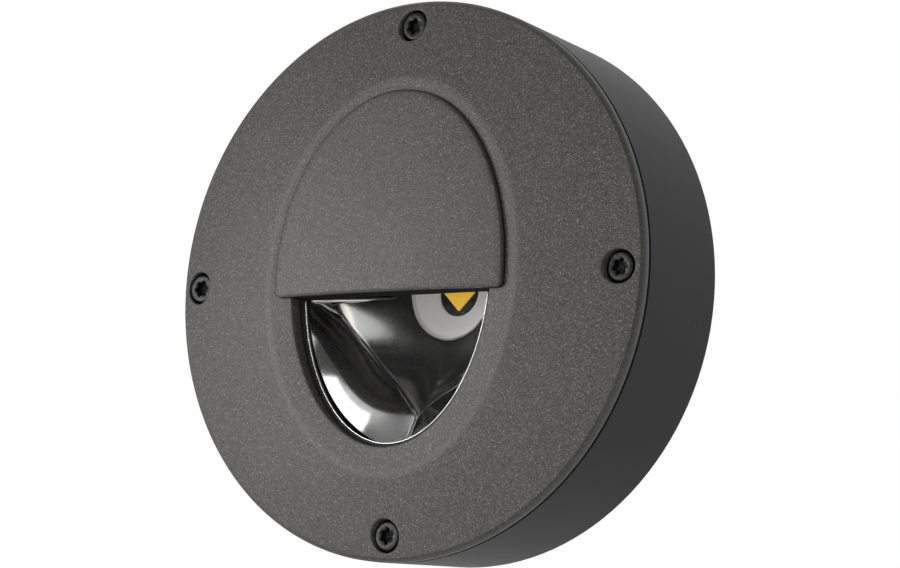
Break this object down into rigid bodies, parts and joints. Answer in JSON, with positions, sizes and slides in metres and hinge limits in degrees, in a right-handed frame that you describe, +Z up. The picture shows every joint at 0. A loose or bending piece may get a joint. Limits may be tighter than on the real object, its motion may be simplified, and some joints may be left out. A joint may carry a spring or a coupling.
{
  "type": "wall spotlight",
  "caption": "Round shallow wall light with a domed face, an oval window shielded over its upper half, a mirror reflector and a small lamp behind glass.",
  "frame": {"origin": "middle of the flat wall face", "axes": "+Y into the wall, front faces -Y; +Z up; +X to the right seen from the front"},
  "size_m": [0.13, 0.0409, 0.13],
  "materials": {
    "cover_paint": "graphite powder coat, fine texture",
    "housing_paint": "graphite powder coat, smooth",
    "screw_black": "black passivated steel, semi-gloss",
    "screw_steel": "zinc plated",
    "rubber_black": "silicone rubber, matt",
    "clear_glass": "clear safety glass",
    "frame_black": "black coated sheet steel",
    "trim_bright": "polished stainless steel strip",
    "mirror_sheet": "bright anodised aluminium",
    "lamp_white": "white moulded plastic",
    "lamp_yellow": "yellow phosphor in silicone",
    "board_dark": "dark solder mask on aluminium",
    "pad_grey": "soft thermal pad",
    "case_white": "moulded plastic",
    "board_green": "green solder mask",
    "coil_brown": "wound copper under tape, dark ferrite",
    "can_blue": "sleeved capacitor cans",
    "block_white": "moulded plastic",
    "brass_screw": "plain",
    "tinned_tag": "tinned copper",
    "lead_brown": "silicone sleeve",
    "lead_blue": "silicone sleeve",
    "lead_green": "green sleeve with a yellow stripe",
    "lead_red": "silicone sleeve",
    "lead_black": "silicone sleeve",
    "vent_grey": "moulded plastic"
  },
  "bodies": {
    "root": {"rear_housing": "housing_paint", "front_cover": "cover_paint", "front_gasket": "rubber_black", "cover_screws": "screw_black", "glass_pane": "clear_glass", "glass_seal": "rubber_black", "window_trim": "trim_bright", "glass_frame": "frame_black", "frame_screws": "screw_steel", "reflector": "mirror_sheet", "reflector_screws": "screw_steel", "lamp_ring": "lamp_white", "lamp_chip": "lamp_yellow", "lamp_board": "board_dark", "thermal_pad": "pad_grey", "lamp_screws": "screw_steel", "driver_case": "case_white", "driver_lid": "case_white", "driver_board": "board_green", "driver_coil": "coil_brown", "driver_capacitors": "can_blue", "driver_screws": "screw_steel", "terminal_block": "block_white", "clamp_screws": "brass_screw", "terminal_screw": "screw_steel", "earth_screw": "brass_screw", "earth_tag": "tinned_tag", "live_lead": "lead_brown", "neutral_lead": "lead_blue", "earth_lead": "lead_green", "lamp_lead_plus": "lead_red", "lamp_lead_minus": "lead_black", "cable_grommet": "rubber_black", "blind_grommet": "rubber_black", "fixing_seals": "rubber_black", "wall_gasket": "rubber_black", "pressure_vent": "vent_grey"}
  },
  "joints": []
}
